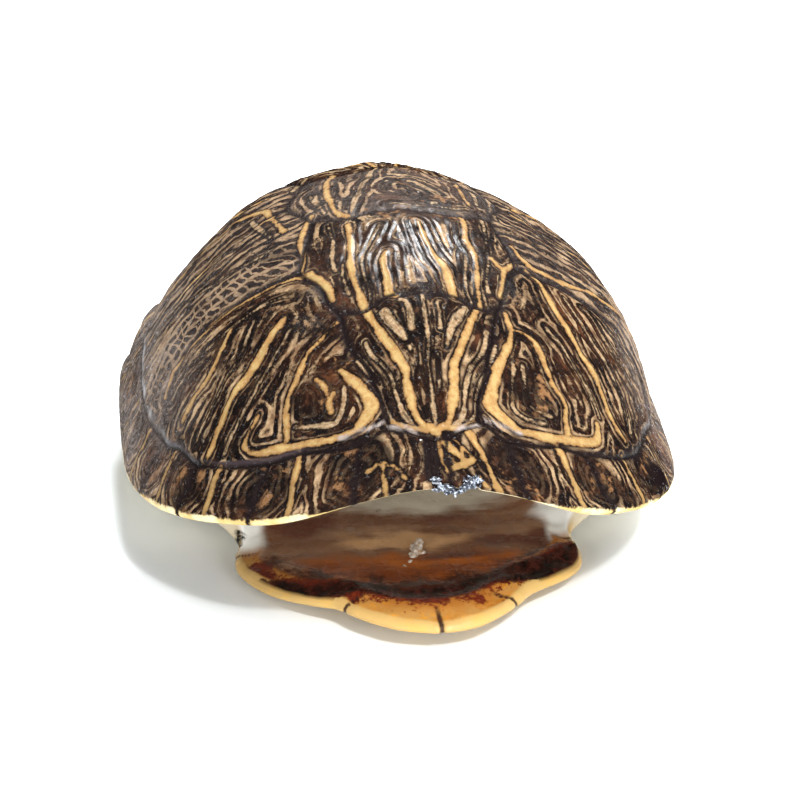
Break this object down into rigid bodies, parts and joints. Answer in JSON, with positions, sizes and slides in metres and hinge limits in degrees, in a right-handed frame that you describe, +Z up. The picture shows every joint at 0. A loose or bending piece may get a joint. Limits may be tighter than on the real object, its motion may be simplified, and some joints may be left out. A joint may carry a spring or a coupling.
{
  "type": "turtle shell",
  "caption": "Empty shell of a high-domed pond turtle: patterned carapace and flat plastron joined by bridges, open at the neck and tail.",
  "frame": {"origin": "middle of the bounding box seen from above, on the flat of the plastron that the shell rests on", "axes": "-Y towards the head opening, +Y along the shell towards the tail, +X to the right of a viewer who faces the head opening, +Z up through the dome"},
  "size_m": [0.179, 0.25, 0.1021],
  "materials": {
    "carapace_horn": null,
    "plastron_horn": null
  },
  "bodies": {
    "root": {"carapace": "carapace_horn", "plastron": "plastron_horn"}
  },
  "joints": []
}
